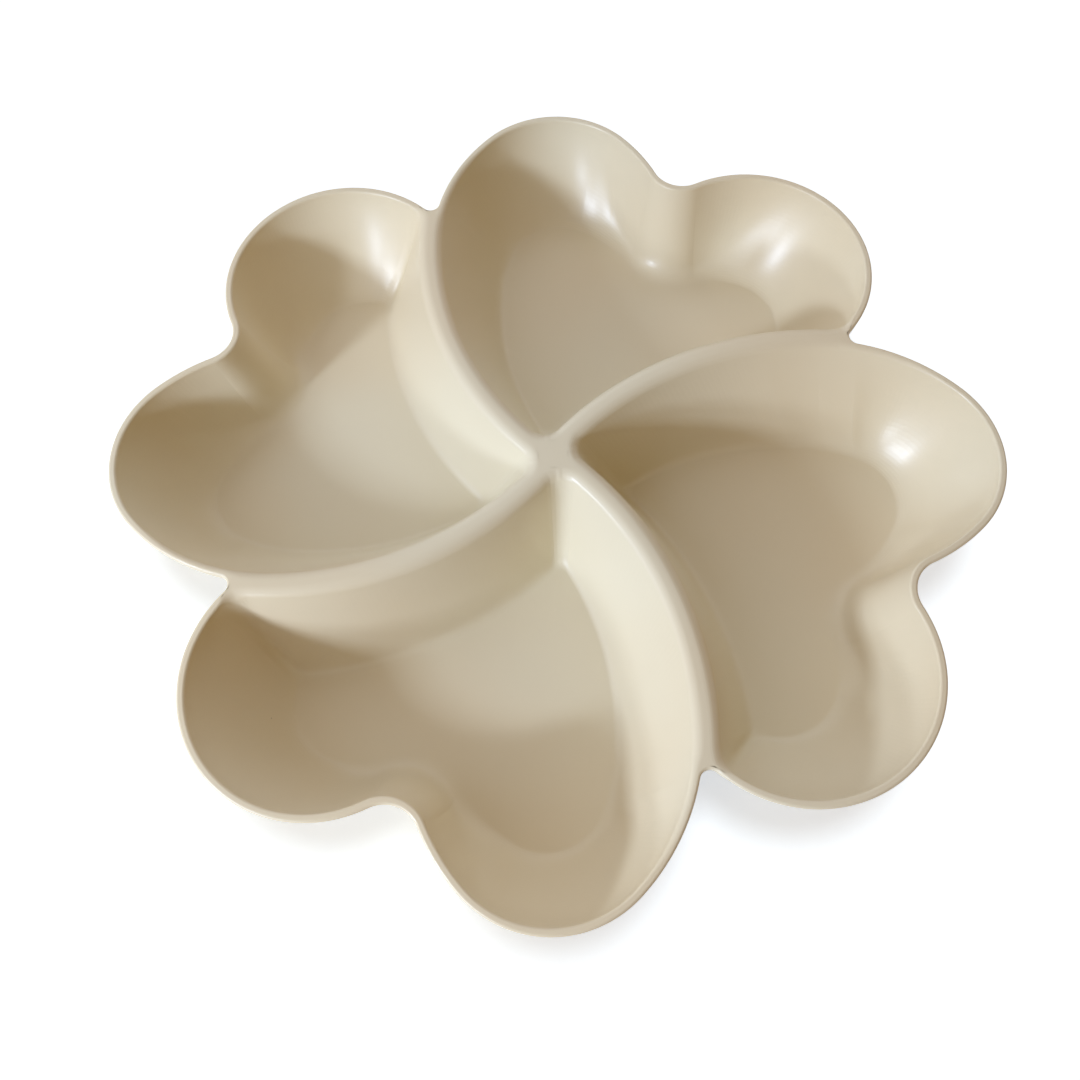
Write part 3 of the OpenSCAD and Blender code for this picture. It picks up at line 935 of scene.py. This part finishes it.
        index = m.wire("GeometryNodeInputIndex")
        column = m.maths("FLOOR", (index + 0.5) / rows) % columns
        grid = {"Vertices X": columns + 1, "Vertices Y": rows}
        walls = m.wire("GeometryNodeMeshGrid", grid)
        walls = self.shaped(walls, points, column * rows + index % rows)
        disc = m.wire("GeometryNodeMeshCircle", {"Vertices": columns}, fill_type="NGON")
        floor = self.shaped(disc, points, index * rows)
        recess = self.shaped(disc, points, index * rows + (rows - 1))
        recess = m.wire("GeometryNodeFlipFaces", {"Mesh": recess})
        cup = self.joined(walls, floor, recess)
        merge = {"Geometry": cup, "Distance": MERGE_DISTANCE}
        cup = m.wire("GeometryNodeMergeByDistance", merge)
        sharp = m.wire("GeometryNodeInputMeshEdgeAngle") > self.SHARP_EDGE
        shade = {"Geometry": cup, "Selection": sharp, "Shade Smooth": False}
        cup = m.wire("GeometryNodeSetShadeSmooth", shade, domain="EDGE")
        cup = m.wire("GeometryNodeGeometryToInstance", {"Geometry": cup})
        turn = m.wire("ShaderNodeCombineXYZ", {2: given["Turn"]})
        cup = m.wire("GeometryNodeRotateInstances", {"Instances": cup, "Rotation": turn})
        cup = m.wire("GeometryNodeRealizeInstances", {"Geometry": cup})
        finish = {"Geometry": cup, "Material": given["Finish"]}
        m.node("NodeGroupOutput", {"Geometry": m.wire("GeometryNodeSetMaterial", finish)})

    def shaped(self, mesh, points, index):
        """A mesh whose vertices are put on the points with these indices."""
        m = self.maker
        kinds = {"data_type": "FLOAT_VECTOR", "domain": "POINT"}
        found = {"Geometry": points, "Value": m.wire("GeometryNodeInputPosition"), "Index": index}
        place = m.wire("GeometryNodeSampleIndex", found, **kinds)
        return m.wire("GeometryNodeSetPosition", {"Geometry": mesh, "Position": place})

    def joined(self, *parts):
        """One mesh of several."""
        join = self.maker.node("GeometryNodeJoinGeometry")
        for part in parts:
            self.tree.links.new(part.socket, join.inputs[0])
        return Wire(self.maker, join.outputs[0])

    def cup(self, name, plan_mesh, shape, turn, finish):
        """Runs the tree on a plan and returns the cup as an object with a plain mesh."""
        host = bpy.data.objects.new("heart_cup_host", plan_mesh)
        bpy.context.scene.collection.objects.link(host)
        modifier = host.modifiers.new("heart_cup", "NODES")
        modifier.node_group = self.tree
        values = {s: getattr(shape, s.lower().replace(" ", "_")) for s in self.SIZES}
        values.update(self.ROWS, Turn=math.radians(turn), Finish=finish)
        for label, value in values.items():
            modifier[self.sockets[label]] = value
        evaluated = host.evaluated_get(bpy.context.evaluated_depsgraph_get())
        mesh = bpy.data.meshes.new_from_object(evaluated)
        mesh.name = name
        host.modifiers.remove(modifier)
        bpy.data.objects.remove(host)
        if not mesh.polygons:
            raise RuntimeError(f"{name} came out empty")
        piece = bpy.data.objects.new(name, mesh)
        bpy.context.scene.collection.objects.link(piece)
        return piece


def emptied(owner):
    """Empties the node tree of a material or a world, and returns its maker."""
    owner.use_nodes = True
    owner.node_tree.nodes.clear()
    return TreeMaker(owner.node_tree)


def moulding_material(finish):
    """The satin beige moulding: faint warm patches that are partly its uneven tint and partly
    painted warm shade on the shaded walls, a few tiny specks, a gloss that handling has made
    uneven, and a fine orange peel on a gentle sway."""
    found = bpy.data.materials.get("beige_moulding")
    if found:
        return found
    material = bpy.data.materials.new("beige_moulding")
    m = emptied(material)
    place = m.wire("ShaderNodeTexCoord", output="Object")

    def noise(scale, detail, at=place):
        return m.wire("ShaderNodeTexNoise", {"Vector": at, "Scale": scale, "Detail": detail})

    # Warm patches: partly the moulding's uneven tint, partly painted warm shade, shifted so that
    # they lie on the walls in shade
    tint_and_shade_patches = noise(1.0, 2.0, place * TINT_AND_SHADE_SCALE + TINT_AND_SHADE_SHIFT)
    tint_and_shade_patches = {"Value": tint_and_shade_patches, "From Min": TINT_AND_SHADE_START, "From Max": TINT_AND_SHADE_END}
    tint_and_shade_patches = m.wire("ShaderNodeMapRange", tint_and_shade_patches, interpolation_type="SMOOTHSTEP")
    plain_and_patch_colours = (*finish.moulding_colour, 1), (*finish.warm_tint_and_shade_colour, 1)
    colour = m.mix("RGBA", tint_and_shade_patches, *plain_and_patch_colours)

    cells = m.node("ShaderNodeTexVoronoi", {"Vector": place, "Scale": SPECK_SCALE})
    chance = m.wire("ShaderNodeSeparateColor", {"Color": Wire(m, cells.outputs["Color"])})
    near = Wire(m, cells.outputs["Distance"]) < SPECK_RADIUS_SHARE
    speck = (chance > PLAIN_CELL_SHARE) * near * SPECK_TINT_SHARE
    colour = m.mix("RGBA", speck, colour, (*finish.speck_colour, 1))

    roughness = finish.gloss_roughness + (noise(HANDLING_SCALE, 4.0) - 0.5) * HANDLING_SPAN
    relief = noise(PEEL_SCALE, 2.0) * PEEL_HEIGHT_SHARE + noise(SWAY_SCALE, 1.0)
    relief = {"Strength": RELIEF_STRENGTH, "Distance": RELIEF_HEIGHT, "Height": relief}
    surface = m.wire(
        "ShaderNodeBsdfPrincipled",
        {
            "Base Color": colour,
            "Roughness": roughness,
            "IOR": finish.ior,
            "Normal": m.wire("ShaderNodeBump", relief),
        },
    )
    m.node("ShaderNodeOutputMaterial", {"Surface": surface})
    return material


def seat_on_frame(piece, node):
    """Lets a finished piece ride on the bowl's body and stand for its CAD node."""
    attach(piece, "root")
    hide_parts(node)


class BOWL_OT_heart_cups(bpy.types.Operator):
    """Make the four heart cups that the bowl is divided into"""

    bl_idname = "bowl.heart_cups"
    bl_label = "Heart Cups"

    def execute(self, context):
        shape, finish = context.scene.bowl_shape, context.scene.bowl_finish
        plan_mesh = HeartPlan(shape).mesh()
        tree = HeartCupTree()
        material = moulding_material(finish)
        for i, (name, node) in enumerate(HEART_CUPS.items()):
            seat_on_frame(tree.cup(name, plan_mesh, shape, i * QUARTER_TURN, material), node)
        return {"FINISHED"}


class BOWL_OT_hub(bpy.types.Operator):
    """Make the flat hub where the four dividing walls meet"""

    bl_idname = "bowl.hub"
    bl_label = "Hub"

    def execute(self, context):
        shape, finish = context.scene.bowl_shape, context.scene.bowl_finish
        plan = HeartPlan(shape)
        count = 4 * HUB_COLUMNS
        headings = [plan.hub_start + QUARTER_TURN * i / HUB_COLUMNS for i in range(count)]
        edge = [plan.hub_radius * heading_vector(heading) for heading in headings]
        heights = (shape.rim_height, shape.rim_height - shape.wall_thickness)
        sides = [(count + i, count + (i + 1) % count, (i + 1) % count, i) for i in range(count)]
        ends = [range(count), range(2 * count - 1, count - 1, -1)]
        mesh = bpy.data.meshes.new("flat_hub")
        mesh.from_pydata([(p.x, p.y, z) for z in heights for p in edge], [], ends + sides)
        mesh.materials.append(moulding_material(finish))
        hub = bpy.data.objects.new("flat_hub", mesh)
        context.scene.collection.objects.link(hub)
        seat_on_frame(hub, "hub")
        return {"FINISHED"}


def seen_directly(maker):
    """Whether a ray is the camera's, a reflection's or a transmission's, and no bounced light."""
    path = maker.node("ShaderNodeLightPath")
    kinds = ("Is Camera Ray", "Is Glossy Ray", "Is Transmission Ray")
    camera, glossy, transmission = (Wire(maker, path.outputs[kind]) for kind in kinds)
    return maker.maths("MAXIMUM", maker.maths("MAXIMUM", camera, glossy), transmission)


def floor_material(studio):
    """A pale floor that looks white to the camera and keeps the bowl's shadow."""
    material = bpy.data.materials.new("studio_floor")
    m = emptied(material)
    matte = m.wire("ShaderNodeBsdfDiffuse", {"Color": (*studio.floor_colour, 1)})
    glow = {"Color": (*studio.floor_glow, 1), "Strength": seen_directly(m)}
    glow = m.wire("ShaderNodeEmission", glow)
    both = m.wire("ShaderNodeAddShader", {0: matte, 1: glow})
    m.node("ShaderNodeOutputMaterial", {"Surface": both})
    return material


def studio_world(studio):
    """Even light from all round, which the camera and reflections see as white."""
    world = bpy.data.worlds.new("studio_world")
    bpy.context.scene.world = world
    m = emptied(world)
    lit = [studio.sky_strength * channel for channel in studio.sky_colour]
    colour = m.mix("RGBA", seen_directly(m), (*lit, 1), (1, 1, 1, 1))
    sky = m.wire("ShaderNodeBackground", {"Color": colour})
    m.node("ShaderNodeOutputWorld", {"Surface": sky})


def add_lamp(name, power, colour, heading, elevation, distance, size, mirrored):
    """A square lamp that looks at the bowl's middle."""
    light = bpy.data.lights.new(name, "AREA")
    light.size = size
    light.energy = power
    light.color = colour
    return aimed(light, heading, elevation, distance, mirrored)


def add_even_light(name, strength, colour, heading, elevation, spread):
    """A light that falls from one side on the whole floor alike. It isn't mirrored."""
    light = bpy.data.lights.new(name, "SUN")
    light.angle = math.radians(spread)
    light.energy = strength
    light.color = colour
    return aimed(light, heading, elevation, 1.0, False)


def aimed(light, heading, elevation, distance, mirrored):
    """Puts a light round the bowl and turns it to the bowl's middle."""
    lamp = bpy.data.objects.new(light.name, light)
    lamp.visible_glossy = mirrored
    bpy.context.scene.collection.objects.link(lamp)
    flat = heading_vector(heading) * math.cos(math.radians(elevation))
    place = Vector((flat.x, flat.y, math.sin(math.radians(elevation)))) * distance
    aim = Vector((0, 0, (CAD_LOW.z + CAD_HIGH.z) / 2))
    lamp.location = place
    lamp.rotation_mode = "QUATERNION"
    lamp.rotation_quaternion = (aim - place).to_track_quat("-Z", "Y")
    return lamp


def light_floor_apart(floor, floor_light, lamps):
    """Lets the floor's own light fall on it alone, and keeps the other lamps off it."""
    for name, state, found in (("lit", "INCLUDE", [floor_light]), ("unlit", "EXCLUDE", lamps)):
        receivers = bpy.data.collections.new(f"{name}_floor")
        receivers.objects.link(floor)
        receivers.collection_objects[0].light_linking.link_state = state
        for lamp in found:
            lamp.light_linking.receiver_collection = receivers


class BOWL_OT_studio(bpy.types.Operator):
    """Set up the pale floor, the soft lights and the camera at the photograph's angle"""

    bl_idname = "bowl.studio"
    bl_label = "Studio"

    def execute(self, context):
        studio = context.scene.bowl_studio
        mesh = bpy.data.meshes.new("studio_floor")
        corners = ((-1, -1), (1, -1), (1, 1), (-1, 1))
        mesh.from_pydata(
            [(x * FLOOR_REACH, y * FLOOR_REACH, 0) for x, y in corners], [], [(0, 1, 2, 3)]
        )
        mesh.materials.append(floor_material(studio))
        floor = bpy.data.objects.new("studio_floor", mesh)
        context.scene.collection.objects.link(floor)
        studio_world(studio)
        colour = studio.lamp_colour
        lamps = [
            add_lamp(f"{name}_lamp", getattr(studio, f"{name}_power"), colour, *placed)
            for name, placed in LAMPS.items()
        ]
        even = add_even_light("floor_light", studio.floor_strength, colour, *FLOOR_LIGHT)
        light_floor_apart(floor, even, lamps)
        self.add_camera(context)
        context.scene.view_settings.view_transform = "Standard"
        return {"FINISHED"}

    def add_camera(self, context):
        """A camera that looks down on the bowl, a little rolled, as the photograph does."""
        data = bpy.data.cameras.new("photo_camera")
        data.sensor_width, data.lens = CAMERA_SENSOR, CAMERA_LENS
        data.clip_start, data.clip_end = CAMERA_CLIPS
        camera = bpy.data.objects.new("photo_camera", data)
        context.scene.collection.objects.link(camera)
        look = (CAMERA_AIM - CAMERA_PLACE).to_track_quat("-Z", "Y").to_matrix()
        roll = Matrix.Rotation(math.radians(CAMERA_ROLL), 3, "Z")
        camera.matrix_world = Matrix.Translation(CAMERA_PLACE) @ (look @ roll).to_4x4()
        context.scene.camera = camera


class BOWL_PT_serving_bowl(bpy.types.Panel):
    """The serving bowl's sizes, finish and studio"""

    bl_idname = "BOWL_PT_serving_bowl"
    bl_label = "Serving Bowl"
    bl_space_type = "VIEW_3D"
    bl_region_type = "UI"
    bl_category = "Serving Bowl"

    def draw(self, context):
        column = self.layout.column()
        for group in GROUPS:
            settings = getattr(context.scene, group)
            for name in type(settings).__annotations__:
                column.prop(settings, name)
        for operator in OPERATORS:
            column.operator(operator.bl_idname)


GROUPS = {"bowl_shape": BowlShape, "bowl_finish": BowlFinish, "bowl_studio": BowlStudio}
OPERATORS = (BOWL_OT_heart_cups, BOWL_OT_hub, BOWL_OT_studio)
CLASSES = (*GROUPS.values(), *OPERATORS, BOWL_PT_serving_bowl)


def register():
    for cls in CLASSES:
        bpy.utils.register_class(cls)
    for name, group in GROUPS.items():
        setattr(bpy.types.Scene, name, bpy.props.PointerProperty(type=group))


def unregister():
    for name in GROUPS:
        delattr(bpy.types.Scene, name)
    for cls in reversed(CLASSES):
        bpy.utils.unregister_class(cls)


def main():
    register()
    bpy.ops.bowl.heart_cups()
    bpy.ops.bowl.hub()
    bpy.ops.bowl.studio()


if __name__ == "__main__":
    main()
